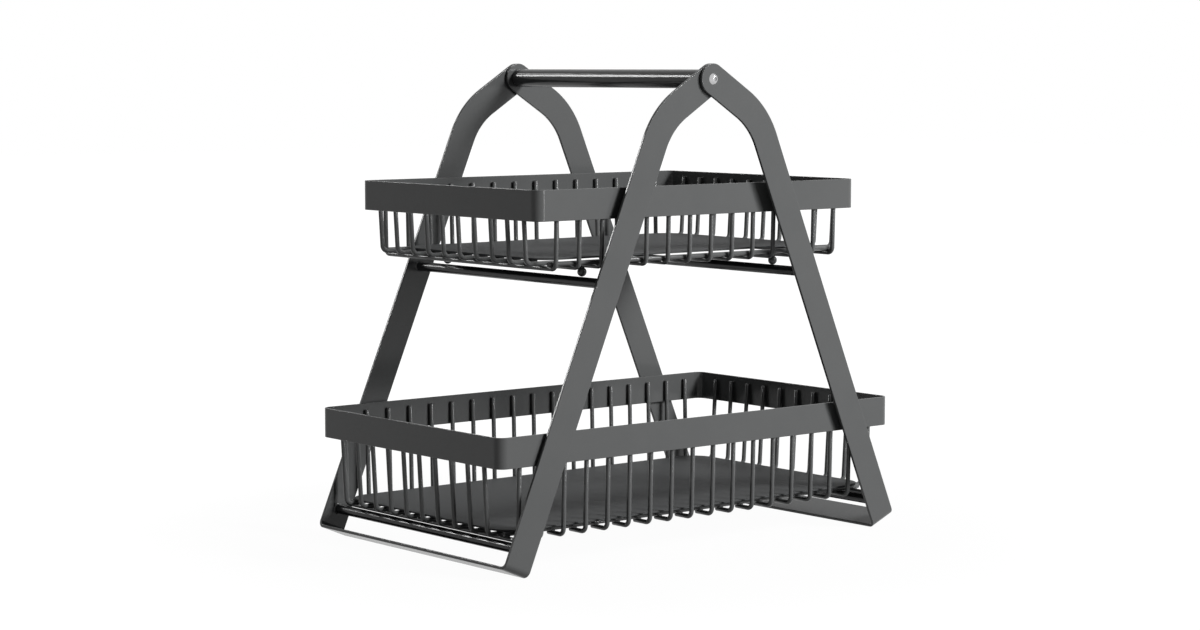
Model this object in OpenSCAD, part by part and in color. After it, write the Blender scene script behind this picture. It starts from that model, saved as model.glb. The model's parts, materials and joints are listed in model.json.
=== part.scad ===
// Two-tier wire-basket stand with a carrying handle.
// Two bent strip frames cross at the handle and hold two loose baskets on crossbars.
// The baskets' length runs along X, the handle along Y, and Z points up.
// The origin is on the floor, midway between the feet. Sizes are in millimetres.

/* [Strip frames] */
// Width of the flat strip
strip_w = 25; // [20:0.5:27]
// Thickness of the flat strip
strip_t = 2.5; // [2:0.1:3]
// Width across the outside of one bent frame
frame_w = 258; // [240:0.5:276]
// Height of the handle's axis above the floor
pivot_h = 383.7; // [376:0.1:392]
// From the middle of the stand to the edge that each foot stands on
foot_reach = 186.5; // [183:0.5:191]
// Length of the arms, from the pivot to where the middle lines of arm and leg meet
arm_run = 59; // [54:0.5:64]
// Drop of the arms from level, in degrees
arm_drop = 31.9; // [29:0.1:35]
// Radius of the knee between arm and leg, along the strip's middle
knee_r = 65; // [50:1:80]
// Inside radius of the folds at both ends of the foot
fold_r = 3.5; // [2.5:0.1:5]

/* [Crossbars] */
// Diameter of the crossbars
bar_d = 8; // [7:0.1:9]
// Height of the upper crossbars' middle above the floor
upper_bar_h = 223.7; // [218:0.1:230]
// Height of the lower crossbars' middle above the floor
lower_bar_h = 22.9; // [22:0.1:26]

/* [Handle and pivots] */
// Diameter of the handle bar
handle_d = 15.4; // [13:0.1:19]
// Width of the chamfer on the handle's ends
handle_chamfer = 0.8; // [0.4:0.1:1.2]
// Diameter of the pivot screws' shanks
screw_d = 4; // [3:0.1:4.2]
// Length of each screw inside the handle
screw_grip = 16; // [8:0.5:30]
// Diameter of the screws' domed heads
head_d = 9.4; // [8.4:0.1:12]
// Height of the screws' domed heads
head_h = 2.6; // [2.2:0.1:3]
// Width across the flats of the socket in each head
socket_w = 3; // [2.5:0.1:3.5]
// Depth of the socket in each head
socket_depth = 1.6; // [1:0.1:1.8]
// Diameter of the washers between the strips
washer_d = 9; // [7:0.1:12]
// Thickness of the washers between the strips
washer_t = 0.5; // [0.4:0.1:1]

/* [Both baskets] */
// Height of the rims
rim_h = 24.5; // [20:0.5:30]
// Thickness of the rims
rim_t = 1.5; // [1.2:0.1:1.8]
// Outside corner radius of the rims
rim_corner_r = 8; // [6:0.5:15]
// Diameter of the wires and rods
wire_d = 3.8; // [3.4:0.1:4]
// Radius of the wires' bottom bends, along their middle
wire_bend_r = 5; // [4.4:0.1:6]
// From the top of the rim down to the wires' top ends
wire_drop = 5; // [3:0.5:10]
// Length of each wire that lies under the base plate
wire_lap = 12; // [10:0.5:20]
// Number of wires in each end row
end_count = 10; // [6:1:10]
// Outward lean of the wires in the end rows, in degrees
end_lean = 3.3; // [2.5:0.1:4]
// Outward lean of the wires in the side rows, in degrees
side_lean = 1.4; // [1:0.1:1.6]
// Thickness of the base plates
plate_t = 1.5; // [1:0.1:2]
// Corner radius of the base plates
plate_corner_r = 20; // [10:1:25]
// Length of a long rod beyond the cross wires, from their middle to its end
rod_over = 4; // [3:0.1:5]

/* [Upper basket] */
// How far the upper rim reaches past the middle of the upper crossbars
upper_over = 66; // [60:0.5:72]
// Gap between the inner strips and the upper rim's long sides
upper_side_gap = 5.65; // [4:0.05:8]
// Depth from the upper rim's top to the underside of the wires
upper_deep = 64; // [58:0.1:75]
// Number of wires in each long side of the upper basket, with the cross wires
upper_count = 14; // [12:2:14]
// From the upper rim's ends in to the cross wires
upper_cross_in = 22.05; // [20:0.05:24]
// From the upper rim's long sides in to the first end wires
upper_wire_in = 22.1; // [20:0.1:26]
// From the upper rim's long sides in to the long rods
upper_rod_in = 9.8; // [9.4:0.1:12]
// From the upper rim's ends in to the base plate
upper_plate_end = 21.5; // [19:0.1:24]
// From the upper rim's long sides in to the base plate
upper_plate_side = 22.3; // [17:0.1:23]
// Diameter of the ball studs under the upper basket
stud_d = 7.5; // [6:0.1:8]
// From the upper rim's long sides in to the ball studs
stud_in = 29.2; // [24:0.1:31]

/* [Lower basket] */
// How far the lower rim reaches past the middle of the lower crossbars
lower_over = 20; // [18:0.5:24]
// Gap between the inner strips and the lower rim's long sides
lower_side_gap = 2; // [2:0.05:4]
// Depth from the lower rim's top to the underside of the wires
lower_deep = 84.1; // [75:0.1:95]
// Number of wires in each long side of the lower basket, with the cross wires
lower_count = 18; // [16:2:18]
// From the middle of the lower crossbars in to the cross wires
lower_cross_in = 1.8; // [0.5:0.1:2.4]
// From the lower rim's long sides in to the first end wires
lower_wire_in = 25.75; // [24:0.05:28]
// From the lower rim's long sides in to the long rods
lower_rod_in = 18.95; // [17:0.05:19.5]
// From the lower rim's ends in to the base plate
lower_plate_end = 14.9; // [12:0.1:17]
// From the lower rim's long sides in to the base plate
lower_plate_side = 12.45; // [11:0.05:14]

/* [Fits] */
// Clearance round the pivot screws, on each side
pivot_fit = 0.08; // [0.05:0.01:0.1]
// Clearance round the screws' threads in the handle, on each side
thread_fit = 0.03; // [0.02:0.01:0.05]
// Play between flat faces that turn on each other
turn_play = 0.1; // [0.05:0.01:0.2]
// Gap left between a basket and the crossbars that it rests on
rest_gap = 0.3; // [0.2:0.05:0.4]
// Depth that welded wires sink into each other
weld_sink = 0.1; // [0.05:0.01:0.15]

/* [Hidden] */
$fn = 48;
// Overrun of every cut past the faces that it leaves
cut = 1;
// A wire's bend is drawn a hair thinner, and runs into both straights by this many degrees
bend_neck = 0.02;
bend_lap = 2;

// Frames: both are one shape, and the left one is turned half a turn
frame_gap = washer_t + turn_play;
frame_shift = (strip_t + frame_gap) / 2;
frame_in_w = frame_w - 2 * strip_t;
knee_z = pivot_h - arm_run * sin(arm_drop);
knee_back = foot_reach - arm_run * cos(arm_drop);
leg_lean = atan2(knee_z, -knee_back) - acos(strip_w / 2 / sqrt(pow(knee_back, 2) + pow(knee_z, 2)));
foot_x = foot_reach + strip_w / 2 * cos(leg_lean);
foot_z = strip_w / 2 * sin(leg_lean);
knee_turn = 90 - leg_lean - arm_drop;
knee_run = knee_r * tan(knee_turn / 2);
knee_steps = 18;
end_steps = 32;
leg_run = (knee_z - foot_z) / cos(leg_lean);
frame_span = 2 * (pivot_h + foot_reach);

// Pivots: faces of the strips, from the middle of the stand
outer_face_y = frame_w / 2 + frame_shift;
inner_face_y = frame_in_w / 2 - frame_shift;
washer_y = outer_face_y - strip_t - turn_play - washer_t;

// Crossbars: both lie on the leg's middle line
function leg_x(h) = foot_x - (h - foot_z) * tan(leg_lean);

// Baskets: wires along Y are in the low layer, wires along X in the high one
layer = wire_d - weld_sink;
upper_l = 2 * (leg_x(upper_bar_h) + upper_over);
upper_w = 2 * (inner_face_y - upper_side_gap);
upper_cross_x = upper_l / 2 - upper_cross_in;
upper_rod_y = upper_w / 2 - upper_rod_in;
upper_plate_l = upper_l - 2 * upper_plate_end;
upper_plate_w = upper_w - 2 * upper_plate_side;
upper_pitch = 2 * upper_cross_x / (upper_count - 1);
upper_end_pitch = (upper_w - 2 * upper_wire_in) / (end_count - 1);
lower_l = 2 * (leg_x(lower_bar_h) + lower_over);
lower_w = 2 * (inner_face_y - lower_side_gap);
lower_cross_x = leg_x(lower_bar_h) - lower_cross_in;
lower_rod_y = lower_w / 2 - lower_rod_in;
lower_plate_l = lower_l - 2 * lower_plate_end;
lower_plate_w = lower_w - 2 * lower_plate_side;
lower_pitch = 2 * lower_cross_x / (lower_count - 1);
lower_end_pitch = (lower_w - 2 * lower_wire_in) / (end_count - 1);

// Heights: each ball stud is under the side wire next to an upper crossbar
stud_x = (round(leg_x(upper_bar_h) / upper_pitch + 1 / 2) - 1 / 2) * upper_pitch;
stud_y = upper_w / 2 - stud_in;
stud_seat = stud_d / 2 + bar_d / 2 + rest_gap;
stud_z = upper_bar_h + sqrt(pow(stud_seat, 2) - pow(leg_x(upper_bar_h) - stud_x, 2));
upper_low_z = stud_z + stud_d / 2 + wire_d / 2 - weld_sink;
upper_top_z = upper_low_z - wire_d / 2 + upper_deep;
wire_seat = wire_d / 2 + bar_d / 2 + rest_gap;
lower_low_z = lower_bar_h + sqrt(pow(wire_seat, 2) - pow(lower_cross_in, 2));
lower_top_z = lower_low_z - wire_d / 2 + lower_deep;

// Rectangle with round corners, about the origin
module round_rect(l, w, r) {
  square([l - 2 * r, w], center = true);
  square([l, w - 2 * r], center = true);
  for (x = [-1, 1], y = [-1, 1]) {
    translate([x * (l / 2 - r), y * (w / 2 - r)]) circle(r);
  }
}

// Points round a circle's centre, with angles clockwise from straight up
function arc(centre, r, from, to, steps) =
  [for (i = [0 : steps]) let (a = from + (to - from) * i / steps) centre + r * [sin(a), cos(a)]];

// Side view of a right-hand leg: round end, arm, knee and leg, with the pivot hole.
// It is drawn with the arm level and the knee turning down, and then tipped by the arm's drop.
module strip_side() {
  knee = [arm_run - knee_run, -knee_r];
  leg_dir = [cos(knee_turn), -sin(knee_turn)];
  outer = arc(knee, knee_r + strip_w / 2, 0, knee_turn, knee_steps);
  inner = arc(knee, knee_r - strip_w / 2, knee_turn, 0, knee_steps);
  leg_end = (leg_run - knee_run + cut) * leg_dir;
  translate([0, pivot_h]) rotate(-arm_drop) difference() {
    polygon(concat(
      arc([0, 0], strip_w / 2, -180, 0, end_steps),
      outer,
      [outer[knee_steps] + leg_end, inner[0] + leg_end],
      inner
    ));
    circle(d = screw_d + 2 * pivot_fit);
  }
}

// Section of the folded strip, seen along its width: two legs and the foot between them
module strip_fold() {
  difference() {
    translate([0, frame_span / 2]) round_rect(frame_w, frame_span, fold_r + strip_t);
    translate([0, frame_span / 2 + strip_t]) round_rect(frame_in_w, frame_span, fold_r);
  }
}

// One frame: the side view cut from the folded strip
module leg_frame() {
  intersection() {
    rotate([90, 0, 0]) linear_extrude(frame_w + 2 * cut, center = true) strip_side();
    translate([foot_x, 0, foot_z]) rotate([0, -leg_lean, 0]) rotate([90, 0, 90])
      linear_extrude(frame_span, center = true) strip_fold();
  }
}

// One crossbar between the two legs of a frame
module crossbar(h) {
  translate([leg_x(h), 0, h]) rotate([90, 0, 0]) cylinder(d = bar_d, h = frame_in_w, center = true);
}

// Places a right-hand piece of a frame; the left frame is turned half a turn
module on_right() {
  translate([0, -frame_shift, 0]) children();
}

module on_left() {
  rotate([0, 0, 180]) on_right() children();
}

module left_leg_frame() { color("DimGray") on_left() leg_frame(); }
module upper_left_crossbar() { color("DimGray") on_left() crossbar(upper_bar_h); }
module lower_left_crossbar() { color("DimGray") on_left() crossbar(lower_bar_h); }
module right_leg_frame() { color("Gray") on_right() leg_frame(); }
module upper_right_crossbar() { color("Gray") on_right() crossbar(upper_bar_h); }
module lower_right_crossbar() { color("Gray") on_right() crossbar(lower_bar_h); }

// Handle: a bar between the inner strips, bored at both ends for the screws
module handle_bar() {
  handle_l = 2 * inner_face_y - turn_play;
  color("DimGray") translate([0, -inner_face_y, pivot_h]) rotate([-90, 0, 0]) difference() {
    union() {
      translate([0, 0, handle_chamfer]) cylinder(d = handle_d, h = handle_l - 2 * handle_chamfer);
      cylinder(d1 = handle_d - 2 * handle_chamfer, d2 = handle_d, h = handle_chamfer);
      translate([0, 0, handle_l - handle_chamfer])
        cylinder(d1 = handle_d, d2 = handle_d - 2 * handle_chamfer, h = handle_chamfer);
    }
    for (z = [-cut, handle_l - screw_grip - cut]) {
      translate([0, 0, z]) cylinder(d = screw_d + 2 * thread_fit, h = screw_grip + 2 * cut);
    }
  }
}

// Pivot screw along +Z from the seat of its domed head, which has a six-sided socket
module pivot_screw(grip) {
  dome_r = (pow(head_d / 2, 2) + pow(head_h, 2)) / (2 * head_h);
  difference() {
    union() {
      rotate_extrude() intersection() {
        translate([0, dome_r - head_h]) circle(dome_r);
        translate([0, -head_h]) square([head_d / 2, head_h]);
      }
      cylinder(d = screw_d, h = grip);
    }
    translate([0, 0, -head_h - cut])
      cylinder(d = socket_w / cos(30), h = socket_depth + cut, $fn = 6);
  }
}

// The front head bears on the turning frame with play, the back head on the fixed one
module front_pivot_screw() {
  seat_y = outer_face_y + turn_play;
  color("Silver") translate([0, -seat_y, pivot_h]) rotate([-90, 0, 0])
    pivot_screw(seat_y - inner_face_y + screw_grip);
}

module back_pivot_screw() {
  color("Silver") translate([0, outer_face_y, pivot_h]) rotate([90, 0, 0])
    pivot_screw(outer_face_y - inner_face_y + screw_grip);
}

module washer() {
  rotate([-90, 0, 0]) difference() {
    cylinder(d = washer_d, h = washer_t);
    translate([0, 0, -cut]) cylinder(d = screw_d + 2 * pivot_fit, h = washer_t + 2 * cut);
  }
}

module front_pivot_washer() {
  color("Silver") translate([0, -washer_y - washer_t, pivot_h]) washer();
}

module back_pivot_washer() {
  color("Silver") translate([0, washer_y + turn_play, pivot_h]) washer();
}

// Rim: a flat band round the top of a basket
module rim(l, w, top_z) {
  translate([0, 0, top_z - rim_h]) linear_extrude(rim_h) difference() {
    round_rect(l, w, rim_corner_r);
    round_rect(l - 2 * rim_t, w - 2 * rim_t, rim_corner_r - rim_t);
  }
}

// Base plate on top of the high layer
module base_plate(l, w, low_z) {
  translate([0, 0, low_z + layer + wire_d / 2])
    linear_extrude(plate_t) round_rect(l, w, plate_corner_r);
}

// Straight rod along X in the high layer, across both cross wires
module long_rod(x, y, low_z) {
  translate([0, y, low_z + layer]) rotate([0, 90, 0])
    cylinder(d = wire_d, h = 2 * (x + rod_over), center = true);
}

// A wire's riser against the +X inside of a rim, and where its bend begins
function wire_out(rim_edge) = rim_edge - rim_t - wire_d / 2 + weld_sink;
function wire_rise(base_z, top_z, lean) =
  (top_z - wire_drop - base_z - wire_bend_r * (1 - sin(lean))) / cos(lean);
function wire_bend_x(rim_edge, base_z, top_z, lean) =
  wire_out(rim_edge) - wire_rise(base_z, top_z, lean) * sin(lean) - wire_bend_r * cos(lean);

// The bend and the riser, which leans out to the rim
module wire_riser(rim_edge, base_z, top_z, lean) {
  translate([wire_bend_x(rim_edge, base_z, top_z, lean), 0, base_z + wire_bend_r])
    rotate([90, 0, 0]) rotate(-90 - bend_lap)
    rotate_extrude(angle = 90 - lean + 2 * bend_lap)
      translate([wire_bend_r, 0]) circle(d = wire_d - 2 * bend_neck);
  translate([wire_out(rim_edge), 0, top_z - wire_drop]) rotate([0, 180 + lean, 0])
    cylinder(d = wire_d, h = wire_rise(base_z, top_z, lean));
}

// A row of wires in the X-Z plane, each level under the plate and then bent up to the rim
module wire_row(count, pitch, plate_edge, rim_edge, base_z, top_z, lean) {
  foot = wire_bend_x(rim_edge, base_z, top_z, lean) - plate_edge + wire_lap;
  for (i = [0 : count - 1]) translate([0, (i - (count - 1) / 2) * pitch, 0]) {
    translate([plate_edge - wire_lap, 0, base_z]) rotate([0, 90, 0]) cylinder(d = wire_d, h = foot);
    wire_riser(rim_edge, base_z, top_z, lean);
  }
}

// One wire in the Y-Z plane, level right across the basket and bent up to the rim at both ends
module cross_wire(x, w, base_z, top_z) {
  foot = 2 * wire_bend_x(w / 2, base_z, top_z, side_lean);
  translate([x, 0, base_z]) rotate([90, 0, 0]) cylinder(d = wire_d, h = foot, center = true);
  for (turn = [-90, 90]) translate([x, 0, 0]) rotate(turn)
    wire_riser(w / 2, base_z, top_z, side_lean);
}

module upper_side_row() {
  rotate(90) wire_row(
    upper_count - 2, upper_pitch, upper_plate_w / 2, upper_w / 2, upper_low_z, upper_top_z, side_lean
  );
}

module upper_end_row() {
  wire_row(
    end_count, upper_end_pitch, upper_plate_l / 2, upper_l / 2,
    upper_low_z + layer, upper_top_z, end_lean
  );
}

module lower_side_row() {
  rotate(90) wire_row(
    lower_count - 2, lower_pitch, lower_plate_w / 2, lower_w / 2, lower_low_z, lower_top_z, side_lean
  );
}

module lower_end_row() {
  wire_row(
    end_count, lower_end_pitch, lower_plate_l / 2, lower_l / 2,
    lower_low_z + layer, lower_top_z, end_lean
  );
}

// Upper basket
module upper_rim() { color("SlateGray") rim(upper_l, upper_w, upper_top_z); }
module upper_base_plate() {
  color("LightSlateGray") base_plate(upper_plate_l, upper_plate_w, upper_low_z);
}
module upper_ball_studs() {
  color("DarkGray") for (x = [-stud_x, stud_x], y = [-stud_y, stud_y]) {
    translate([x, y, stud_z]) sphere(d = stud_d);
  }
}
module upper_front_rod() { color("SlateGray") long_rod(upper_cross_x, -upper_rod_y, upper_low_z); }
module upper_back_rod() { color("SlateGray") long_rod(upper_cross_x, upper_rod_y, upper_low_z); }
module upper_left_cross_wire() {
  color("SlateGray") cross_wire(-upper_cross_x, upper_w, upper_low_z, upper_top_z);
}
module upper_right_cross_wire() {
  color("SlateGray") cross_wire(upper_cross_x, upper_w, upper_low_z, upper_top_z);
}
module upper_front_wires() { color("DarkSlateGray") rotate(180) upper_side_row(); }
module upper_back_wires() { color("DarkSlateGray") upper_side_row(); }
module upper_left_wires() { color("DarkSlateGray") rotate(180) upper_end_row(); }
module upper_right_wires() { color("DarkSlateGray") upper_end_row(); }

// Lower basket
module lower_rim() { color("SlateGray") rim(lower_l, lower_w, lower_top_z); }
module lower_base_plate() {
  color("LightSlateGray") base_plate(lower_plate_l, lower_plate_w, lower_low_z);
}
module lower_front_rod() { color("SlateGray") long_rod(lower_cross_x, -lower_rod_y, lower_low_z); }
module lower_back_rod() { color("SlateGray") long_rod(lower_cross_x, lower_rod_y, lower_low_z); }
module lower_left_cross_wire() {
  color("SlateGray") cross_wire(-lower_cross_x, lower_w, lower_low_z, lower_top_z);
}
module lower_right_cross_wire() {
  color("SlateGray") cross_wire(lower_cross_x, lower_w, lower_low_z, lower_top_z);
}
module lower_front_wires() { color("DarkSlateGray") rotate(180) lower_side_row(); }
module lower_back_wires() { color("DarkSlateGray") lower_side_row(); }
module lower_left_wires() { color("DarkSlateGray") rotate(180) lower_end_row(); }
module lower_right_wires() { color("DarkSlateGray") lower_end_row(); }

left_leg_frame();
upper_left_crossbar();
lower_left_crossbar();
right_leg_frame();
upper_right_crossbar();
lower_right_crossbar();
handle_bar();
front_pivot_screw();
back_pivot_screw();
front_pivot_washer();
back_pivot_washer();
upper_rim();
upper_base_plate();
upper_ball_studs();
upper_front_rod();
upper_back_rod();
upper_left_cross_wire();
upper_right_cross_wire();
upper_front_wires();
upper_back_wires();
upper_left_wires();
upper_right_wires();
lower_rim();
lower_base_plate();
lower_front_rod();
lower_back_rod();
lower_left_cross_wire();
lower_right_cross_wire();
lower_front_wires();
lower_back_wires();
lower_left_wires();
lower_right_wires();
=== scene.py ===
# %% [markdown]
# # A two-tier basket stand in painted steel
#
# The stand is made of two folded flat strips that cross at a round handle. Each strip is
# bent twice at its foot, curves over at its knees, and is screwed to the handle's ends. Four
# crossbars tie the legs together and carry two wire baskets.
#
# The exact solids come first, as a frame that nothing here moves. Every piece below is
# built in the same place, in metres, and takes over from the plain solid that it stands for.

# %% Load the frame
import json
import math

import bmesh
import bpy
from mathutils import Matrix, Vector


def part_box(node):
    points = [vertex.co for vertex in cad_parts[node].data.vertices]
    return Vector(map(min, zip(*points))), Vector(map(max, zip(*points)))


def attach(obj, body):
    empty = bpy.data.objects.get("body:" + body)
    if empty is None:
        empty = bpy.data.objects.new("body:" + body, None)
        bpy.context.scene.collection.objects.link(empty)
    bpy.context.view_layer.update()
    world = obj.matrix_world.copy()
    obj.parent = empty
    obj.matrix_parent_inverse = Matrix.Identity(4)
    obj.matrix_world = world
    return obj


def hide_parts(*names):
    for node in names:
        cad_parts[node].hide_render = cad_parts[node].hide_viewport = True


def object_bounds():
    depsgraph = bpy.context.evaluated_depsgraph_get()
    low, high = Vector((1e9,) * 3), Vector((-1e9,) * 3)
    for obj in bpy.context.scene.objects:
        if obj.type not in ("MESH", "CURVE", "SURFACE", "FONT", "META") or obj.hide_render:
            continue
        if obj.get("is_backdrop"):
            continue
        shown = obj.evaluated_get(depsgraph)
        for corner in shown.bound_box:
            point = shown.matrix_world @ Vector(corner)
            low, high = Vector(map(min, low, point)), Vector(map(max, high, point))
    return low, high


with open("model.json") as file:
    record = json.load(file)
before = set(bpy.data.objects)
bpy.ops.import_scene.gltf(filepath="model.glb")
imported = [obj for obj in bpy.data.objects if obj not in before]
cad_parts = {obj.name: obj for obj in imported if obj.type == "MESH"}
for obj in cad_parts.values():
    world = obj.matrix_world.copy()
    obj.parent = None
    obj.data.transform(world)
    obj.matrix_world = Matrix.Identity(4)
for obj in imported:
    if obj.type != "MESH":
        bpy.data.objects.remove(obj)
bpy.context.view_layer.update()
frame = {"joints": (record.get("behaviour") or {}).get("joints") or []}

MM = 0.001
X, Y, Z = Vector((1, 0, 0)), Vector((0, 1, 0)), Vector((0, 0, 1))

# %% [markdown]
# ## Nodes written as sums
#
# Materials and Geometry Nodes are both trees of nodes. One small class adds a node of any
# type: its settings go in first, then the values and links of its sockets. A second class
# wraps a socket, so that `0.4 + grain * 0.1` adds the Math nodes by itself.

# %% A tree, and a value in it
class Value:
    """The output of a node, which can be used in a sum."""

    def __init__(self, tree, socket):
        self.tree, self.socket = tree, socket

    def _math(self, operation, a, b):
        return self.tree.node("ShaderNodeMath", dict(operation=operation), {0: a, 1: b})[0]

    def __add__(self, other):
        return self._math("ADD", self, other)

    def __radd__(self, other):
        return self._math("ADD", other, self)

    def __mul__(self, other):
        return self._math("MULTIPLY", self, other)

    def __rmul__(self, other):
        return self._math("MULTIPLY", other, self)


class Outputs:
    """The outputs of one node, by name or by number."""

    def __init__(self, tree, made):
        self.tree, self.made = tree, made

    def __getitem__(self, key):
        return Value(self.tree, self.made.outputs[key])


class Tree:
    """A tree of nodes under construction."""

    def __init__(self, nodes):
        self.nodes = nodes
        self.nodes.nodes.clear()

    def node(self, kind, settings=None, inputs=None):
        made = self.nodes.nodes.new(kind)
        for key, value in (settings or {}).items():
            setattr(made, key, value)
        for key, value in (inputs or {}).items():
            if isinstance(value, Value):
                self.nodes.links.new(value.socket, made.inputs[key])
            else:
                made.inputs[key].default_value = value
        return Outputs(self, made)


def material_tree(name):
    material = bpy.data.materials.new(name)
    material.use_nodes = True
    return material, Tree(material.node_tree)


# %% [markdown]
# ## Powder coat
#
# The frame and the baskets are powder coated: dry paint, melted on, that sets with a faint
# orange-peel ripple about two millimetres across and a much finer grain. Both go into the
# bump. The grain also stirs the roughness, because it breaks up the gloss. The colour hardly
# changes: it drifts slowly where the coat lies thicker or thinner.
#
# Melted paint also closes to a thin smooth skin. It mirrors a lamp as a narrow bright line,
# while the pigment under it stays satin. The base plates are matt and have no such skin. The
# four crossbars are painted darker than the rest: painted shade, for the shadow that the
# baskets cast on them.

# %% The coat on the frame and on the baskets
DRIFT, PEEL, GRAIN = 55 * MM, 2.2 * MM, 0.45 * MM
DRIFT_SHARE, PEEL_SHARE = 0.7, 0.75
RIPPLE_H, RIPPLE_STRENGTH = 0.06 * MM, 0.03
GRAIN_ROUGH, DRIFT_ROUGH, FINE_SHARE = 0.14, 0.08, 0.55
SKIN, SKIN_ROUGH, PIGMENT_GLOSS = 0.35, 0.13, 0.06


def powder_coat(name, thick, thin, roughness, shift, skin=SKIN):
    """Paint between two colours. The shift gives each coat a pattern of its own."""
    material, t = material_tree(name)
    point = t.node("ShaderNodeTexCoord")["Object"]
    place = t.node("ShaderNodeMapping", inputs={"Vector": point, "Location": shift})[0]

    def noise(size, detail):
        return t.node("ShaderNodeTexNoise", inputs={
            "Vector": place, "Scale": 1 / size, "Detail": detail, "Roughness": FINE_SHARE})[0]

    drift, peel, grain = noise(DRIFT, 3.0), noise(PEEL, 1.0), noise(GRAIN, 2.0)
    colour = t.node("ShaderNodeMix", dict(data_type="RGBA"), {
        0: drift * DRIFT_SHARE + grain * (1 - DRIFT_SHARE), 6: thick, 7: thin})[2]
    bump = t.node("ShaderNodeBump", inputs={
        "Height": peel * PEEL_SHARE + grain * (1 - PEEL_SHARE),
        "Strength": RIPPLE_STRENGTH, "Distance": RIPPLE_H})[0]
    paint = t.node("ShaderNodeBsdfPrincipled", inputs={
        "Base Color": colour,
        "Roughness": grain * GRAIN_ROUGH + drift * DRIFT_ROUGH
        + (roughness - (GRAIN_ROUGH + DRIFT_ROUGH) / 2),
        "Normal": bump,
        "Specular IOR Level": PIGMENT_GLOSS,
        "Coat Weight": skin,
        "Coat Roughness": SKIN_ROUGH,
    })[0]
    t.node("ShaderNodeOutputMaterial", inputs={"Surface": paint})
    return material


frame_coat = powder_coat(
    "frame_coat", (0.088, 0.091, 0.092, 1), (0.112, 0.114, 0.114, 1), 0.27, (0.17, 0.05, 0.09))
basket_coat = powder_coat(
    "basket_coat", (0.090, 0.093, 0.094, 1), (0.112, 0.114, 0.114, 1), 0.28, (0.41, 0.23, 0.31))
plate_coat = powder_coat(
    "plate_coat", (0.058, 0.060, 0.061, 1), (0.078, 0.080, 0.081, 1), 0.62, (0.29, 0.37, 0.13),
    skin=0.0)
# Painted shade: the crossbars' darker paint stands in for the shadow that the baskets cast on
# them.
bar_shade_coat = powder_coat(
    "bar_shade_coat", (0.030, 0.031, 0.033, 1), (0.044, 0.045, 0.047, 1), 0.24, (0.07, 0.19, 0.27))
print("paint:", frame_coat.name, bar_shade_coat.name, basket_coat.name, plate_coat.name)

# %% [markdown]
# ## Bright steel
#
# Only the two screws and their washers are bare metal. A turned head carries fine rings
# from the lathe, so the bump follows the distance from the screw's axis. The hinge of the
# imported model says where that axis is.

# %% The metal of the screws and washers
PIVOT = Vector(next(j["pos_m"] for j in frame["joints"] if j["type"] == "hinge"))
RING_PITCH, RING_H, RING_STRENGTH, SPECK = 0.14 * MM, 0.01 * MM, 0.15, 0.8 * MM
STEEL_ROUGH, SPECK_ROUGH = 0.12, 0.10


def turned_steel(name):
    material, t = material_tree(name)
    point = t.node("ShaderNodeTexCoord")["Object"]
    place = t.node("ShaderNodeMapping", inputs={
        "Vector": point, "Location": (-PIVOT.x, 0, -PIVOT.z), "Scale": (1, 0, 1)})[0]
    radius = t.node("ShaderNodeVectorMath", dict(operation="LENGTH"), {0: place})[1]
    rings = t.node("ShaderNodeMath", dict(operation="SINE"), {
        0: radius * (2 * math.pi / RING_PITCH)})[0]
    speck = t.node("ShaderNodeTexNoise", inputs={
        "Vector": point, "Scale": 1 / SPECK, "Detail": 2.0})[0]
    colour = t.node("ShaderNodeMix", dict(data_type="RGBA"), {
        0: speck, 6: (0.42, 0.42, 0.43, 1), 7: (0.60, 0.60, 0.60, 1)})[2]
    bump = t.node("ShaderNodeBump", inputs={
        "Height": rings, "Strength": RING_STRENGTH, "Distance": RING_H})[0]
    metal = t.node("ShaderNodeBsdfPrincipled", inputs={
        "Base Color": colour, "Metallic": 1.0, "Roughness": speck * SPECK_ROUGH + STEEL_ROUGH,
        "Normal": bump})[0]
    t.node("ShaderNodeOutputMaterial", inputs={"Surface": metal})
    return material


bright_steel = turned_steel("bright_steel")
print("pivot axis height in mm:", round(PIVOT.z / MM, 2))

# %% [markdown]
# ## One ring after another
#
# A flat bar, a band or a turned screw is one outline carried along a path. So one helper
# makes them all: it takes a ring of points for each stop on the path and joins each ring to
# the next. Where a ring shrinks to a line or a point, its doubles are merged, which closes
# the end. The normals are worked out again at the end, so that all faces look outwards.

# %% Join rings, and hand a finished mesh to the frame
SHARP = math.radians(42)
SAME_PLACE, NO_WIDTH = 1e-7, 1e-8


def loft(name, rings, loop=False, capped=False):
    """Joins each ring of points to the next one, and the last to the first for a loop."""
    bm = bmesh.new()
    rows = [[bm.verts.new(p) for p in ring] for ring in rings]
    for a, b in zip(rows, rows[1:] + rows[:1] if loop else rows[1:]):
        for i in range(len(a)):
            j = (i + 1) % len(a)
            bm.faces.new((a[i], a[j], b[j], b[i]))
    if capped:
        bm.faces.new(rows[0])
        bm.faces.new(rows[-1])
    bmesh.ops.remove_doubles(bm, verts=bm.verts, dist=SAME_PLACE)
    bmesh.ops.dissolve_degenerate(bm, edges=bm.edges, dist=NO_WIDTH)
    bmesh.ops.recalc_face_normals(bm, faces=bm.faces)
    mesh = bpy.data.meshes.new(name)
    bm.to_mesh(mesh)
    bm.free()
    return mesh


def joined(name, meshes):
    """One mesh that holds several."""
    bm = bmesh.new()
    for mesh in meshes:
        bm.from_mesh(mesh)
    whole = bpy.data.meshes.new(name)
    bm.to_mesh(whole)
    bm.free()
    return whole


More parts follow.
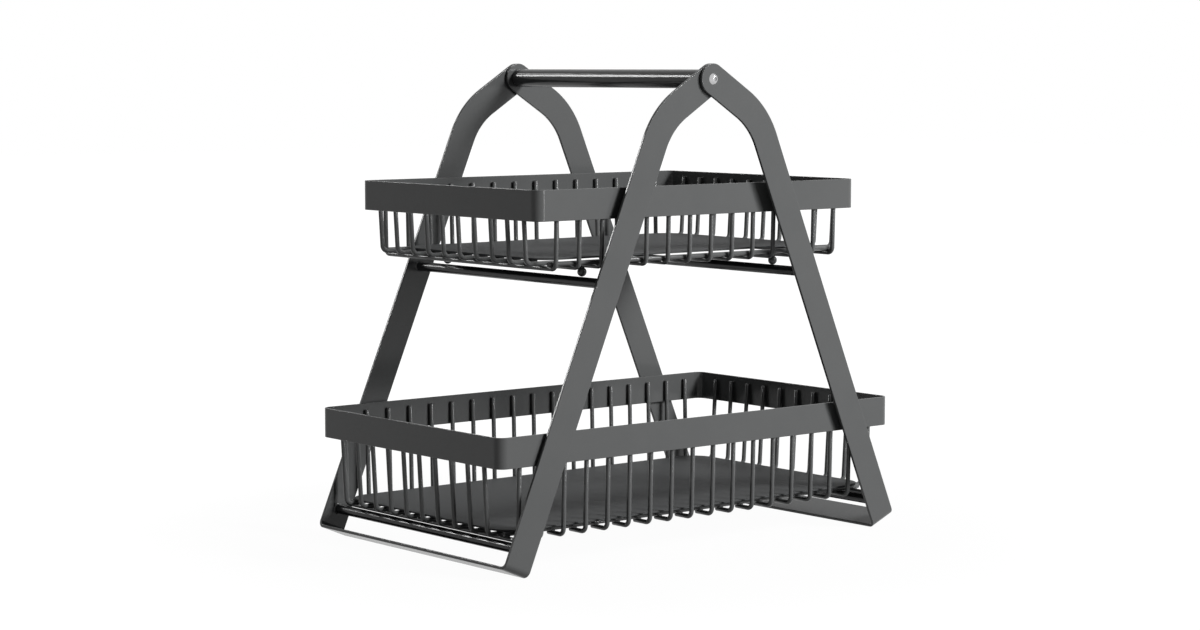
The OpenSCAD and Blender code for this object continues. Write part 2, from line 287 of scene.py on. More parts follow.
def set_down(name, mesh, material, slot, body, *stands_for):
    """Makes a mesh a piece that rides on a body and takes over from the named solids."""
    mesh.materials.clear()
    mesh.materials.append(material)
    mesh.shade_smooth()
    mesh.set_sharp_from_angle(angle=SHARP)
    piece = bpy.data.objects.new(name, mesh)
    bpy.context.scene.collection.objects.link(piece)
    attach(piece, body)
    if stands_for:
        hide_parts(*stands_for)
    lowest = [min(v.co[i] for v in mesh.vertices) for i in range(3)]
    print(name, len(mesh.polygons), "faces, from", [round(v / MM, 1) for v in lowest])


# %% [markdown]
# Sheared or rolled strip has no sharp edges, and paint rounds them further. The section of
# every flat piece here has small round corners. Next to each corner sits one more point, a
# hair away, which keeps the smooth shading of the corner from spreading over the flat.

# %% Section of a flat bar with rounded edges
HOLD = 0.25 * MM


def bar_section(half_w, half_t, edge_r, steps=4):
    """Points (across the width, across the thickness) round a bar's section."""
    section = []
    for su, sv, first in ((1, 1, 0), (-1, 1, 90), (-1, -1, 180), (1, -1, 270)):
        cu, cv = su * (half_w - edge_r), sv * (half_t - edge_r)
        turn = [math.radians(first + 90 * i / steps) for i in range(steps + 1)]
        arc = [(cu + edge_r * math.cos(a), cv + edge_r * math.sin(a)) for a in turn]
        on_side = (su * half_w, cv - sv * HOLD)
        on_flat = (cu - su * HOLD, sv * half_t)
        section += [on_side, *arc, on_flat] if su == sv else [on_flat, *arc, on_side]
    return section


# %% [markdown]
# ## The two folded strips
#
# Each frame is one long flat strip. From a round end at the pivot it runs down the arm,
# turns over the knee in its own plane, runs down the leg, folds flat under the foot, and
# comes up the other side in the same way. A cut-out plate would give the same side view,
# but carrying the strip's section along its path also gives the folds their true radius and
# keeps every edge rounded. The knee turns the width of the section, and the fold turns its
# thickness, so each stop stores both directions.

# %% Sizes of the strip
STRIP_W, STRIP_T = 25 * MM, 2.5 * MM
KNEE_R, FOLD_R = 65 * MM, 3.5 * MM
STRIP_EDGE = 0.5 * MM
FOLD_STEPS, KNEE_STEPS, TIP_STEPS = 10, 24, 16
FOOT_EDGE, ARM_RUN, DROP = 186.5 * MM, 59 * MM, math.radians(31.9)
strip_low, strip_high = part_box("right_leg_frame")
FRAME_W = strip_high.y - strip_low.y
shift_y = (strip_high.y + strip_low.y) / 2
knee_z, knee_back = PIVOT.z - ARM_RUN * math.sin(DROP), FOOT_EDGE - ARM_RUN * math.cos(DROP)
LEAN = math.atan2(knee_z, -knee_back) - math.acos(STRIP_W / 2 / math.hypot(knee_back, knee_z))
up_leg = Vector((-math.sin(LEAN), 0, math.cos(LEAN)))
across = Vector((math.cos(LEAN), 0, math.sin(LEAN)))
foot = FOOT_EDGE * X + across * STRIP_W / 2
leg_run = (knee_z - foot.z) / math.cos(LEAN)
knee_turn = math.pi / 2 - LEAN - DROP
knee_run = KNEE_R * math.tan(knee_turn / 2)
print("leg in mm:", round(leg_run / MM, 2), "leaning", round(math.degrees(LEAN), 2),
      "width", round(FRAME_W / MM, 2))

# %% The stops from the middle of the foot up to one pivot
def half_strip(side):
    """Stops along one half: centre, direction of the width, direction of the thickness."""
    fold_y = FRAME_W / 2 - STRIP_T - FOLD_R
    fold_r, fold_up = FOLD_R + STRIP_T / 2, STRIP_T + FOLD_R
    out = Y * side
    stops = [(foot + up_leg * STRIP_T / 2 + out * (fold_y - HOLD), across, -up_leg)]
    for i in range(FOLD_STEPS + 1):
        a = math.radians(90 * i / FOLD_STEPS)
        rise, reach = fold_up - fold_r * math.cos(a), fold_y + fold_r * math.sin(a)
        facing = -up_leg * math.cos(a) + out * math.sin(a)
        stops.append((foot + up_leg * rise + out * reach, across, facing))
    plane = foot + out * (FRAME_W / 2 - STRIP_T / 2)
    for s in (fold_up + HOLD, leg_run - knee_run - HOLD):
        stops.append((plane + up_leg * s, across, out))
    knee = plane + up_leg * (leg_run - knee_run) - across * KNEE_R
    for i in range(KNEE_STEPS + 1):
        a = LEAN + knee_turn * i / KNEE_STEPS
        width = Vector((math.cos(a), 0, math.sin(a)))
        stops.append((knee + width * KNEE_R, width, out))
    arm = Vector((-math.cos(DROP), 0, math.sin(DROP)))
    stops.append((stops[-1][0] + arm * HOLD, width, out))
    return stops, arm, width


def leg_strip(name, section, half_turn):
    """The whole strip, from the round end at the front to the one at the back."""
    spin = -1 if half_turn else 1
    halves = []
    for side in (-1, 1):
        stops, arm, width = half_strip(side)
        rings = [[c + w * p + n * q for p, q in section] for c, w, n in stops]
        tip = Vector((PIVOT.x, side * (FRAME_W / 2 - STRIP_T / 2), PIVOT.z))
        for i in range(TIP_STEPS + 1):
            a = math.radians(90 * i / TIP_STEPS)
            rings.append([
                tip + width * (p * math.cos(a)) + arm * (abs(p) * math.sin(a)) + Y * side * q
                for p, q in section
            ])
        halves.append([
            [Vector((spin * v.x, spin * (v.y + shift_y), v.z)) for v in ring] for ring in rings])
    return loft(name, halves[0][::-1] + halves[1])


strip_section = bar_section(STRIP_W / 2, STRIP_T / 2, STRIP_EDGE)
set_down(
    "right_strip", leg_strip("right_strip", strip_section, False),
    frame_coat, "powder_coat", "right_frame", "right_leg_frame")
set_down(
    "left_strip", leg_strip("left_strip", strip_section, True),
    frame_coat, "powder_coat", "left_frame", "left_leg_frame")

# %% [markdown]
# ## Wires, rods and crossbars
#
# Everything round in the baskets is drawn wire: cut to length, bent, and spot welded. A
# Geometry Nodes tree suits it, because a whole row is one wire repeated. The tree takes a
# path of a few points, rounds its corner, runs a circle along it, dulls the cut ends, and
# repeats the result in steps. Each row is then turned into a plain mesh, because an export
# would drop the instances.
#
# The cut ends are found by their corners: a face on the wire's side has four, and an end has
# one for each side of the wire. Three short extrusions, each smaller than the one before,
# round the end over.

# %% A tree that makes a row of wires from one path
BEND_STEPS, SIDE_CORNERS = 10, 4
# Share of the blunted length, and how much each stage shrinks the end
BLUNT_STAGES = ((0.55, 0.90), (0.30, 0.78), (0.15, 0.62))


def open_tree(name, sockets):
    """A new Geometry Nodes tree with the named inputs."""
    nodes = bpy.data.node_groups.new(name, "GeometryNodeTree")
    tree = Tree(nodes)
    nodes.interface.new_socket("Geometry", in_out="INPUT", socket_type="NodeSocketGeometry")
    for socket, kind in sockets:
        nodes.interface.new_socket(socket, in_out="INPUT", socket_type="NodeSocket" + kind)
    nodes.interface.new_socket("Geometry", in_out="OUTPUT", socket_type="NodeSocketGeometry")
    return tree, tree.node("NodeGroupInput")


def wire_row_tree():
    t, given = open_tree("wire_row", [
        ("Wire Radius", "Float"), ("Bend Radius", "Float"), ("Sides", "Int"), ("Blunt", "Float"),
        ("Count", "Int"), ("Step", "Vector"), ("Coat", "Material")])
    path = t.node("GeometryNodeMeshToCurve", inputs={0: given["Geometry"]})[0]
    bent = t.node("GeometryNodeFilletCurve", dict(mode="POLY"), {
        "Curve": path, "Count": BEND_STEPS, "Radius": given["Bend Radius"],
        "Limit Radius": True})[0]
    ring = t.node("GeometryNodeCurvePrimitiveCircle", inputs={
        "Resolution": given["Sides"], "Radius": given["Wire Radius"]})[0]
    wire = t.node("GeometryNodeCurveToMesh", inputs={
        "Curve": bent, "Profile Curve": ring, "Fill Caps": True})[0]
    corners = t.node("GeometryNodeInputMeshFaceNeighbors")[0]
    ends = t.node("FunctionNodeCompare", dict(data_type="INT", operation="GREATER_THAN"), {
        2: corners, 3: SIDE_CORNERS})[0]
    for reach, shrink in BLUNT_STAGES:
        grown = t.node("GeometryNodeExtrudeMesh", inputs={
            "Mesh": wire, "Selection": ends, "Offset Scale": given["Blunt"] * reach,
            "Individual": False})
        ends = grown["Top"]
        wire = t.node("GeometryNodeScaleElements", inputs={
            "Geometry": grown["Mesh"], "Selection": ends, "Scale": shrink})[0]
    spots = t.node("GeometryNodeMeshLine", dict(mode="OFFSET"), {
        "Count": given["Count"], "Offset": given["Step"]})[0]
    row = t.node("GeometryNodeInstanceOnPoints", inputs={"Points": spots, "Instance": wire})[0]
    plain = t.node("GeometryNodeRealizeInstances", inputs={0: row})[0]
    coated = t.node("GeometryNodeSetMaterial", inputs={
        "Geometry": plain, "Material": given["Coat"]})[0]
    t.node("NodeGroupOutput", inputs={0: coated})
    return t.nodes


wire_row = wire_row_tree()
print("tree:", wire_row.name, len(wire_row.nodes), "nodes")

# %% Run a tree once and keep the plain mesh
def grow(name, tree, points, edges, values):
    """The mesh that a tree makes from points and edges, with the named inputs set."""
    start = bpy.data.meshes.new(name + "_path")
    start.from_pydata([tuple(p) for p in points], edges, [])
    holder = bpy.data.objects.new(name + "_path", start)
    modifier = holder.modifiers.new("grow", "NODES")
    modifier.node_group = tree
    for item in tree.interface.items_tree:
        if item.in_out == "INPUT" and item.name in values:
            modifier[item.identifier] = values[item.name]
    bpy.context.scene.collection.objects.link(holder)
    bpy.context.view_layer.update()
    finished = holder.evaluated_get(bpy.context.evaluated_depsgraph_get())
    made = bpy.data.meshes.new_from_object(finished)
    holder.modifiers.remove(modifier)
    bpy.data.objects.remove(holder)
    bpy.data.meshes.remove(start)
    made.name = name
    return made


BLUNT = 0.5 * MM


def wires(name, path, radius, count, step, coat, bend=0.0, sides=16):
    """A row of wires. The path is shortened by as much as the blunted ends add."""
    first, last = (path[1] - path[0]).normalized(), (path[-2] - path[-1]).normalized()
    path = [path[0] + first * BLUNT, *path[1:-1], path[-1] + last * BLUNT]
    edges = [(i, i + 1) for i in range(len(path) - 1)]
    return grow(name, wire_row, path, edges, {
        "Wire Radius": radius, "Bend Radius": bend, "Sides": sides, "Blunt": BLUNT,
        "Count": count, "Step": tuple(step), "Coat": coat})


# %% [markdown]
# The crossbars are thicker rods, welded between the two legs of a frame. A thin bead of weld
# runs round each end and blends the bar into the strip. The bead is a ring whose outline is
# hollow, as weld metal draws itself up into a corner.

# %% Crossbars and the beads at their ends
def turned(name, outline, centre, axis, sides=32, loop=False):
    """Spins an outline of (distance along the axis, radius) pairs about an axis."""
    side = axis.orthogonal().normalized()
    other = axis.cross(side)
    spun = [
        [centre + axis * along + (side * math.cos(a) + other * math.sin(a)) * radius
         for a in [2 * math.pi * i / sides for i in range(sides)]]
        for along, radius in outline
    ]
    return loft(name, spun, loop=loop)


BEAD, SINK = 1.1 * MM, 0.1 * MM
BAR_SIDES = 40


def bead_outline(bar_r):
    """A hollow curve from the strip to the bar. Its root lies a little way inside the bar."""
    turn = [math.radians(a) for a in range(90, -1, -15)]
    hollow = [(BEAD * (1 - math.sin(a)), bar_r + BEAD * (1 - math.cos(a))) for a in turn]
    return [(0, bar_r - SINK), *hollow, (BEAD, bar_r - SINK)]


for body, word in (("left_frame", "left"), ("right_frame", "right")):
    bars = [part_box(f"{level}_{word}_crossbar") for level in ("lower", "upper")]
    mids = [(low + high) / 2 for low, high in bars]
    bar_r = (bars[0][1].z - bars[0][0].z) / 2
    half = (bars[0][1].y - bars[0][0].y) / 2
    mesh = wires(word + "_bars", [mids[0] - Y * half, mids[0] + Y * half], bar_r, 2,
                 mids[1] - mids[0], bar_shade_coat, sides=BAR_SIDES)
    set_down(word + "_bars", mesh, bar_shade_coat, "powder_coat", body,
             f"upper_{word}_crossbar", f"lower_{word}_crossbar")
    beads = [
        turned("bead", bead_outline(bar_r), mid + Y * side * half, -Y * side, BAR_SIDES, loop=True)
        for mid in mids for side in (-1, 1)
    ]
    set_down(word + "_bar_beads", joined(word + "_bar_beads", beads),
             frame_coat, "powder_coat", body)
    print(word, "bars at x =", [round(m.x / MM, 2) for m in mids], "mm")

# %% [markdown]
# ## Handle, screws and washers
#
# These are turned on a lathe, so they are outlines spun about the pivot's axis. The handle is
# a round bar with softened ends. Each screw has a domed head with a six-sided socket: the
# dome's rings are round, the socket's are hexagons with as many points, and the loft joins
# one to the other. The screws and washers ride on the left frame, as the handle does.

# %% The handle
handle_low, handle_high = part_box("handle_bar")
handle_r, handle_half = (handle_high.z - handle_low.z) / 2, (handle_high.y - handle_low.y) / 2
END_R, HANDLE_SIDES = 1.2 * MM, 64


def handle_outline():
    """From the middle of the near end, over its rounded edge and the bar, to the far end."""
    turn = [math.radians(a) for a in range(0, 91, 15)]
    near = [(-handle_half, 0), (-handle_half, handle_r - END_R - HOLD)]
    near += [(-handle_half + END_R * (1 - math.cos(a)), handle_r - END_R * (1 - math.sin(a)))
             for a in turn]
    near += [(-handle_half + END_R + HOLD, handle_r)]
    return near + [(-d, r) for d, r in reversed(near)]


handle_mid = (handle_low + handle_high) / 2
set_down("grip_bar", turned("grip_bar", handle_outline(), handle_mid, Y, HANDLE_SIDES),
         frame_coat, "powder_coat", "left_frame", "handle_bar")

# %% Screws with a six-sided socket, and washers
SHANK_R, SHANK_BEVEL, HEAD_H = 2 * MM, 0.3 * MM, 2.6 * MM
SOCKET_W, SOCKET_DEEP, SOCKET_POINT = 3 * MM, 1.6 * MM, 0.25 * MM
SCREW_SIDES, DOME_STEPS = 36, 8
# Round the head's lower edge: how far out from the seat, and how far in from the full radius
HEAD_EDGE, DOME_INSET = ((0, 0.25 * MM), (0.08 * MM, 0.06 * MM)), 0.03 * MM
# The rounded mouth of the socket: how deep, and how much wider than the hexagon
LIP, MOUTH = 0.25 * MM, ((0.02 * MM, 0.12 * MM), (0.16 * MM, 0))


def hexagon(a):
    """The socket's radius in the direction of an angle."""
    return SOCKET_W / 2 / math.cos((a % (math.pi / 3)) - math.pi / 6)


def screw(name, node, side):
    """A screw whose head looks outwards. Distances run from the head's seat, outwards."""
    low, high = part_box(node)
    head_r = (high.z - low.z) / 2
    tip = high.y if side > 0 else low.y
    seat = Vector((PIVOT.x, tip - side * HEAD_H, PIVOT.z))
    length = high.y - low.y - HEAD_H
    dome_r = (head_r ** 2 + HEAD_H ** 2) / (2 * HEAD_H)
    lip_r = SOCKET_W / 2 / math.cos(math.pi / 6) + LIP

    def dome(radius):
        return math.sqrt(dome_r ** 2 - radius ** 2) - (dome_r - HEAD_H)

    outline = [(-length, 0), (-length, SHANK_R - SHANK_BEVEL), (-length + SHANK_BEVEL, SHANK_R)]
    outline += [(0, SHANK_R), *[(along, head_r - inset) for along, inset in HEAD_EDGE]]
    for i in range(DOME_STEPS + 1):
        radius = head_r - DOME_INSET - (head_r - DOME_INSET - lip_r) * i / DOME_STEPS
        outline.append((dome(radius), radius))
    angles = [2 * math.pi * i / SCREW_SIDES for i in range(SCREW_SIDES)]
    stops = [(along, [radius] * SCREW_SIDES) for along, radius in outline]
    stops += [(dome(lip_r) - deep, [hexagon(a) + wider for a in angles]) for deep, wider in MOUTH]
    stops += [(HEAD_H - SOCKET_DEEP, [hexagon(a) for a in angles])]
    stops += [(HEAD_H - SOCKET_DEEP - SOCKET_POINT, [0] * SCREW_SIDES)]
    return loft(name, [
        [seat + Y * side * along + (X * math.cos(a) + Z * math.sin(a)) * radius
         for a, radius in zip(angles, radii)]
        for along, radii in stops
    ])


WASHER_EDGE, WASHER_GAP = 0.12 * MM, 0.08 * MM
for word, side in (("front", -1), ("back", 1)):
    set_down(word + "_screw", screw(word + "_screw", word + "_pivot_screw", side),
             bright_steel, "bright_steel", "left_frame", word + "_pivot_screw")
    low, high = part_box(word + "_pivot_washer")
    outer, half = (high.z - low.z) / 2, (high.y - low.y) / 2
    outline = [
        (-half, SHANK_R + WASHER_GAP), (-half, outer - WASHER_EDGE), (-half + WASHER_EDGE, outer),
        (half - WASHER_EDGE, outer), (half, outer - WASHER_EDGE), (half, SHANK_R + WASHER_GAP),
    ]
    ring = turned(word + "_washer", outline, (low + high) / 2, Y, SCREW_SIDES, loop=True)
    set_down(word + "_washer", ring,
             bright_steel, "bright_steel", "left_frame", word + "_pivot_washer")

# %% [markdown]
# ## Bands and base plates
#
# The rim of a basket is a flat band, bent at its four corners and welded end to end. Its
# section is carried round a rectangle with round corners. The base plate is sheet metal: the
# same rectangle, stacked in a few rings that round its edge over.

# %% Bands round the tops of the baskets
def round_rectangle(length, width, radius, steps=12):
    """Points and outward directions round a rectangle, with a holding point beside each corner."""
    spots = []
    for sx, sy, first in ((1, 1, 0), (-1, 1, 90), (-1, -1, 180), (1, -1, 270)):
        centre = Vector((sx * (length / 2 - radius), sy * (width / 2 - radius), 0))
        for i in range(steps + 1):
            a = math.radians(first + 90 * i / steps)
            out = Vector((math.cos(a), math.sin(a), 0))
            along = Vector((-out.y, out.x, 0))
            if i == 0:
                spots.append((centre + out * radius - along * HOLD, out))
            spots.append((centre + out * radius, out))
            if i == steps:
                spots.append((centre + out * radius + along * HOLD, out))
    return spots


RIM_R, RIM_T, RIM_EDGE = 8 * MM, 1.5 * MM, 0.4 * MM


def band(name, node):
    low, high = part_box(node)
    size, mid_z = high - low, (low.z + high.z) / 2
    section = bar_section(size.z / 2, RIM_T / 2, RIM_EDGE)
    path = round_rectangle(size.x - RIM_T, size.y - RIM_T, RIM_R - RIM_T / 2)
    rings = [[spot + Z * (mid_z + p) + out * q for p, q in section] for spot, out in path]
    return loft(name, rings, loop=True)


for level in ("upper", "lower"):
    set_down(level + "_band", band(level + "_band", level + "_rim"),
             basket_coat, "basket_coat", level + "_basket", level + "_rim")

# %% Base plates
PLATE_R, PLATE_EDGE, PLATE_STEPS = 20 * MM, 0.45 * MM, 16


def plate(name, node):
    """Rings from the underside to the top, each inset as much as the rounded edge asks."""
    low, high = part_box(node)
    size = high - low
    turn = [math.radians(a) for a in range(0, 91, 18)]
    sweep = [(PLATE_EDGE * (1 - math.sin(a)), PLATE_EDGE * (1 - math.cos(a))) for a in turn]
    stack = [(PLATE_EDGE + HOLD, low.z)]
    stack += [(inset, low.z + rise) for inset, rise in sweep]
    stack += [(inset, high.z - drop) for drop, inset in sweep]
    stack += [(PLATE_EDGE + HOLD, high.z)]
    rings = []
    for inset, z in stack:
        length, width = size.x - 2 * inset, size.y - 2 * inset
        outline = round_rectangle(length, width, PLATE_R - inset, PLATE_STEPS)
        rings.append([spot + Z * z for spot, _ in outline])
    print(name, "is", [round(v / MM, 2) for v in size], "mm")
    return loft(name, rings, capped=True)


for level in ("upper", "lower"):
    set_down(level + "_floor_plate", plate(level + "_floor_plate", level + "_base_plate"),
             plate_coat, "basket_coat", level + "_basket", level + "_base_plate")

# %% [markdown]
# ## The baskets' wires
#
# Each side of a basket is a row of L-shaped wires. A wire lies under the base plate, bends
# up, and leans out a little until its top meets the inside of the band. The solids' boxes
# give the first and the last wire of each row; the lean and the bend are the wire's own.

# %% Rows of bent wires
WIRE_R, WIRE_BEND, WELD_DOWN = 1.9 * MM, 5 * MM, 3.5 * MM
SIDE_LEAN, END_LEAN = math.radians(1.4), math.radians(3.3)
ROWS = {
    "upper_front": (-Y, SIDE_LEAN, 12), "upper_back": (Y, SIDE_LEAN, 12),
    "upper_left": (-X, END_LEAN, 10), "upper_right": (X, END_LEAN, 10),
    "lower_front": (-Y, SIDE_LEAN, 16), "lower_back": (Y, SIDE_LEAN, 16),
    "lower_left": (-X, END_LEAN, 10), "lower_right": (X, END_LEAN, 10),
}
row_tops = {"upper_basket": [], "lower_basket": []}
row_feet = {"upper_basket": {}, "lower_basket": {}}


def riser(low, high, out, lean):
    """The corner and the top of a bent wire whose box is given, as distances out and up."""
    reach = max(low.dot(out), high.dot(out)) - WIRE_R * math.cos(lean)
    base, top = low.z + WIRE_R, high.z - WIRE_R * math.sin(lean)
    return (reach - (top - base) * math.tan(lean), base), (reach, top)


def band_weld(corner, top, out):
    """Where a wire's top is welded to the band."""
    return top + (corner - top).normalized() * WELD_DOWN + out * (WIRE_R - SINK)


def bent_path(node, out, lean, count):
    """The three points of a row's first wire, and the step to the next one."""
    low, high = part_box(node)
    along = Vector((abs(out.y), abs(out.x), 0))
    first, last = low.dot(along) + WIRE_R, high.dot(along) - WIRE_R
    corner, top = riser(low, high, out, lean)
    inner = min(low.dot(out), high.dot(out)), corner[1]
    points = [along * first + out * d + Z * z for d, z in (inner, corner, top)]
    return points, along * (last - first) / (count - 1)


for row, (out, lean, count) in ROWS.items():
    body = row.split("_")[0] + "_basket"
    path, step = bent_path(row + "_wires", out, lean, count)
    mesh = wires(row + "_row", path, WIRE_R, count, step, basket_coat, bend=WIRE_BEND)
    set_down(row + "_row", mesh, basket_coat, "basket_coat", body, row + "_wires")
    row_tops[body] += [band_weld(path[1], path[2], out) + step * i for i in range(count)]
    row_feet[body][row.split("_")[1]] = [path[0] + step * i for i in range(count)]
    print(row, "pitch", round(step.length / MM, 2), "mm")

# %% [markdown]
# The first and the last wire of the long sides are one piece: a U that runs right across the
# basket under the feet of the end wires. A long rod on each side ties the other feet
# together, one layer above. The same tree makes both kinds.

# %% Cross wires and long rods
crossings = {"upper_basket": [], "lower_basket": []}
for level in ("upper", "lower"):
    body = level + "_basket"
    boxes = [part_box(f"{level}_{word}_cross_wire") for word in ("left", "right")]
    cross_x = [(low.x + high.x) / 2 for low, high in boxes]
    apart = X * (cross_x[1] - cross_x[0])
    corner, top = riser(*boxes[0], Y, SIDE_LEAN)
    turns = (-1, top), (-1, corner), (1, corner), (1, top)
    bow = [Vector((cross_x[0], side * d, z)) for side, (d, z) in turns]
    mesh = wires(level + "_cross_wires", bow, WIRE_R, 2, apart, basket_coat, bend=WIRE_BEND)
    set_down(mesh.name, mesh, basket_coat, "basket_coat", body,
             level + "_left_cross_wire", level + "_right_cross_wire")
    front_weld, back_weld = band_weld(bow[1], bow[0], -Y), band_weld(bow[2], bow[3], Y)
    row_tops[body] += [front_weld, back_weld, front_weld + apart, back_weld + apart]

    rods = [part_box(f"{level}_{word}_rod") for word in ("front", "back")]
    mids = [(low + high) / 2 for low, high in rods]
    half = (rods[0][1].x - rods[0][0].x) / 2
    mesh = wires(level + "_long_rods", [mids[0] - X * half, mids[0] + X * half], WIRE_R, 2,
                 mids[1] - mids[0], basket_coat)
    set_down(mesh.name, mesh, basket_coat, "basket_coat", body,
             level + "_front_rod", level + "_back_rod")

    weld_z = (mids[0].z + corner[1]) / 2
    for mid, word in zip(mids, ("front", "back")):
        spots = [inner.x for inner in row_feet[body][word]] + cross_x
        crossings[body] += [Vector((x, mid.y, weld_z)) for x in spots]
    for x, word in zip(cross_x, ("left", "right")):
        crossings[body] += [Vector((x, inner.y, weld_z)) for inner in row_feet[body][word]]
    print(level, "cross wires at x =", [round(x / MM, 2) for x in cross_x],
          "rods at y =", [round(m.y / MM, 2) for m in mids])

# %% [markdown]
# ## Spot welds
#
# Where two wires cross they are squeezed together while a current melts the spot. A little
# metal comes out round it, and the paint rounds it off. Each weld is a small ball on a point,
# flat where two wires cross and tall on the band. There are over two hundred, so each has
# only 80 faces.

# %% A tree that puts a bead on every point
def bead_tree():
    t, given = open_tree("weld_beads", [("Bead Size", "Vector"), ("Coat", "Material")])
    ball = t.node("GeometryNodeMeshIcoSphere", inputs={"Radius": 1.0, "Subdivisions": 2})[0]
    spots = t.node("GeometryNodeMeshToPoints", inputs={0: given["Geometry"]})[0]
    beads = t.node("GeometryNodeInstanceOnPoints", inputs={
        "Points": spots, "Instance": ball, "Scale": given["Bead Size"]})[0]
    plain = t.node("GeometryNodeRealizeInstances", inputs={0: beads})[0]
    coated = t.node("GeometryNodeSetMaterial", inputs={
        "Geometry": plain, "Material": given["Coat"]})[0]
    t.node("NodeGroupOutput", inputs={0: coated})
    return t.nodes


# Half the length, breadth and height of a weld where wires cross, and of one on the band
FLAT_WELD, TALL_WELD = (2.1 * MM, 2.1 * MM, 0.8 * MM), (1.3 * MM, 1.3 * MM, 2.2 * MM)
weld_beads = bead_tree()
for body in ("upper_basket", "lower_basket"):
    level = body.split("_")[0]
    flat = grow(level + "_crossing_welds", weld_beads, crossings[body], [], {
        "Bead Size": FLAT_WELD, "Coat": basket_coat})
    set_down(flat.name, flat, basket_coat, "basket_coat", body)
    tall = grow(level + "_band_welds", weld_beads, row_tops[body], [], {
        "Bead Size": TALL_WELD, "Coat": basket_coat})
    set_down(tall.name, tall, basket_coat, "basket_coat", body)
    print(body, len(crossings[body]), "crossings,", len(row_tops[body]), "welds on the band")

# %% [markdown]
# ## Ball studs
#
# Four balls are welded under the upper basket. They drop between the crossbars, so the
# basket can't slide and the legs can't close. Each is a ball with a short neck of weld that
# runs up to the wire above it, spun as one outline.

# %% Four balls, each with its neck
stud_low, stud_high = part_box("upper_ball_studs")
STUD_R = (stud_high.z - stud_low.z) / 2
stud_z = (stud_low.z + stud_high.z) / 2
# Height above the ball's middle and radius, both as shares of the ball's radius
NECK = ((0.86, 0.56), (0.95, 0.50), (1.06, 0.50), (1.2, 0))


def stud(centre):
    turn = [math.radians(a) for a in range(-90, 55, 8)]
    shares = [(math.sin(a), math.cos(a)) for a in turn] + list(NECK)
    return turned("stud", [(STUD_R * up, STUD_R * out) for up, out in shares], centre, Z)


studs = [
    stud(Vector((sx * (stud_high.x - STUD_R), sy * (stud_high.y - STUD_R), stud_z)))
    for sx in (-1, 1) for sy in (-1, 1)
]
set_down("upper_studs", joined("upper_studs", studs),
         basket_coat, "basket_coat", "upper_basket", "upper_ball_studs")

# %% [markdown]
# ## Floor, light and camera
#
# The stand is photographed on white. The floor and the world are white to the camera and to
# anything that mirrors them, through the Light Path node. To the light that falls on the
# stand the world is almost black and the floor is grey. Near the stand a tenth of the floor
# stays that grey surface for the camera too, so that it takes a faint shadow. Further out the
# share fades, and the floor ends in plain white.

# %% The floor and the world
SHADOW_NEAR, SHADOW_FAR, WHITE_SHARE = 0.25, 0.75, 0.90
FLOOR_GREY, FLOOR_GLOW, FLOOR_HALF = 0.25, 1.08, 9


def seen(t):
    """1 for a ray from the camera, or one that was mirrored or went through glass."""
    path = t.node("ShaderNodeLightPath")
    total = path["Is Camera Ray"] + path["Is Glossy Ray"] + path["Is Transmission Ray"]
    return t.node("ShaderNodeMath", dict(operation="MINIMUM"), {0: total, 1: 1.0})[0]


floor_coat, t = material_tree("studio_floor")
point = t.node("ShaderNodeTexCoord")["Object"]
far = t.node("ShaderNodeVectorMath", dict(operation="LENGTH"), {0: point})[1]
spread = t.node("ShaderNodeMapRange", dict(interpolation_type="SMOOTHSTEP"), {
    0: far, 1: SHADOW_NEAR, 2: SHADOW_FAR, 3: WHITE_SHARE, 4: 1.0})[0]
grey = t.node("ShaderNodeBsdfDiffuse", inputs={
    "Color": (FLOOR_GREY, FLOOR_GREY, FLOOR_GREY, 1)})[0]
white = t.node("ShaderNodeEmission", inputs={"Color": (1, 1, 1, 1), "Strength": FLOOR_GLOW})[0]
both = t.node("ShaderNodeMixShader", inputs={0: seen(t) * spread, 1: grey, 2: white})[0]
t.node("ShaderNodeOutputMaterial", inputs={"Surface": both})

floor_mesh = bpy.data.meshes.new("studio_floor")
floor_corners = [(sx * FLOOR_HALF, sy * FLOOR_HALF, 0) for sx, sy in (
    (-1, -1), (1, -1), (1, 1), (-1, 1))]
floor_mesh.from_pydata(floor_corners, [], [(0, 1, 2, 3)])
floor_mesh.materials.append(floor_coat)
studio_floor = bpy.data.objects.new("studio_floor", floor_mesh)
bpy.context.scene.collection.objects.link(studio_floor)
studio_floor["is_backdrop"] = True

AMBIENT = 0.025
world = bpy.data.worlds.new("studio")
world.use_nodes = True
bpy.context.scene.world = world
t = Tree(world.node_tree)
background = t.node("ShaderNodeBackground", inputs={
    "Color": (1, 1, 1, 1), "Strength": seen(t) * (1 - AMBIENT) + AMBIENT})[0]
t.node("ShaderNodeOutputWorld", inputs={"Surface": background})

# %% [markdown]
# The photograph's light is a large soft lamp at the right, in front and above. A narrow
# upright strip beside it draws a line down the rounded corners of the bands. At the back
# left, the edge light draws the bright lines on the outer edges of the left legs and along
# the handle. It is only mirrored: a lamp that lights the far faces as well would make them too
# pale. The fill at the back does the opposite. It softly lights what looks away from the
# other lamps, and nothing mirrors it. Two weak lamps, one for the handle and one overhead,
# add a little gloss along the upper edges.

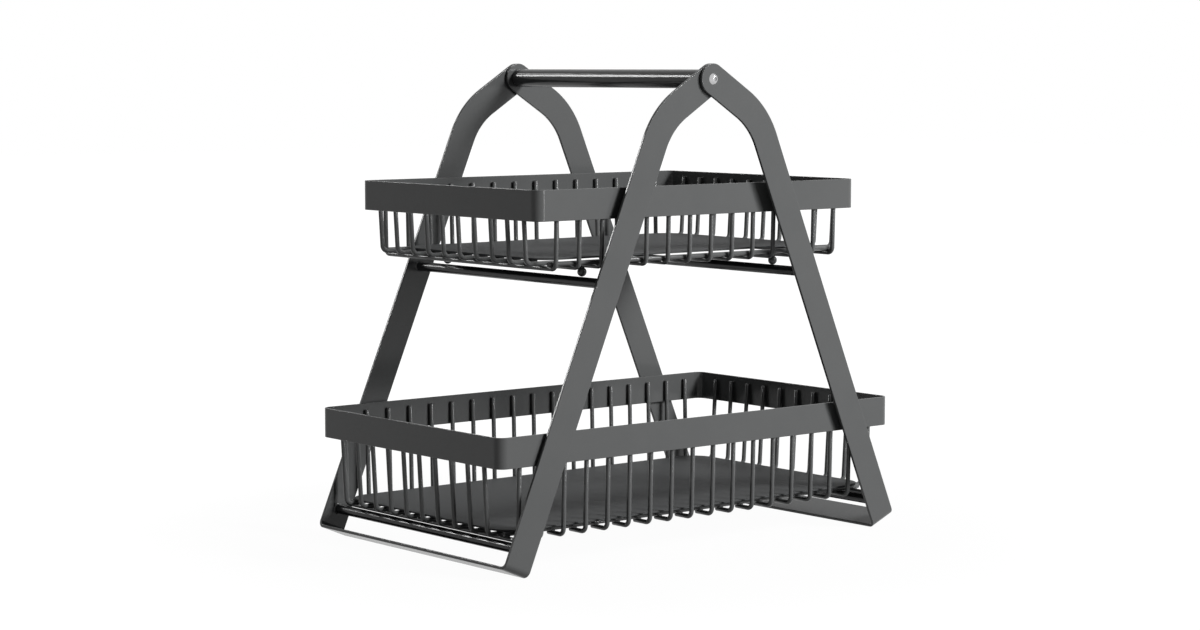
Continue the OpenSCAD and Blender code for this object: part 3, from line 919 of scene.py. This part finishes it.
# %% Lamps
def lamp(name, place, aim, size, watts):
    """A rectangle of light that looks at a point."""
    data = bpy.data.lights.new(name, "AREA")
    data.shape, data.size, data.size_y, data.energy = "RECTANGLE", size[0], size[1], watts
    made = bpy.data.objects.new(name, data)
    made.location = place
    made.rotation_euler = (aim - place).to_track_quat("-Z", "Y").to_euler()
    bpy.context.scene.collection.objects.link(made)
    return made


# For each lamp: its place, its breadth and height, all in metres, and its watts
LAMPS = {
    "key": ((1.2, -2.3, 1.7), (0.8, 0.8), 84),
    "front_strip": ((0.85, -2.4, 0.75), (0.10, 1.3), 20),
    "edge_light": ((-1.40, 2.0, 1.30), (0.45, 0.6), 22),
    "handle_light": ((-0.832, 2.002, 1.63), (0.25, 0.25), 2),
    "back_fill": ((0.5, 2.7, 1.1), (1.0, 0.8), 32),
    "overhead": ((-0.1, 0.5, 2.4), (1.6, 0.3), 2),
}
middle = Vector((0, 0, 0.2))
lamps = {
    name: lamp(name, Vector(place), middle, size, watts)
    for name, (place, size, watts) in LAMPS.items()
}
lamps["edge_light"].visible_diffuse = False
lamps["back_fill"].visible_glossy = False
print("lamps in watts:", {name: watts for name, (_, _, watts) in LAMPS.items()})

# %% [markdown]
# The camera stands where the photographer's did. Its place and its lens were worked out
# from the corners of the feet, the bands and the handle in the photograph.

# %% The camera
EYE, LOOK = Vector((-1.4425, -1.7478, 0.3938)), Vector((0.63103, 0.77030, -0.09187))
LENS, SENSOR, CLIP = 80.85, 36, 50
camera_data = bpy.data.cameras.new("camera")
camera_data.lens, camera_data.sensor_width, camera_data.clip_end = LENS, SENSOR, CLIP
camera = bpy.data.objects.new("camera", camera_data)
camera.location = EYE
camera.rotation_euler = LOOK.to_track_quat("-Z", "Y").to_euler()
bpy.context.scene.collection.objects.link(camera)
bpy.context.scene.camera = camera
bpy.context.scene.view_settings.view_transform = "Standard"

# %% [markdown]
# ## The size of the finished stand
#
# The box round the finished stand is measured. The finished stand may not be larger than
# the solids.

# %% Measure the finished stand
low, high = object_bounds()
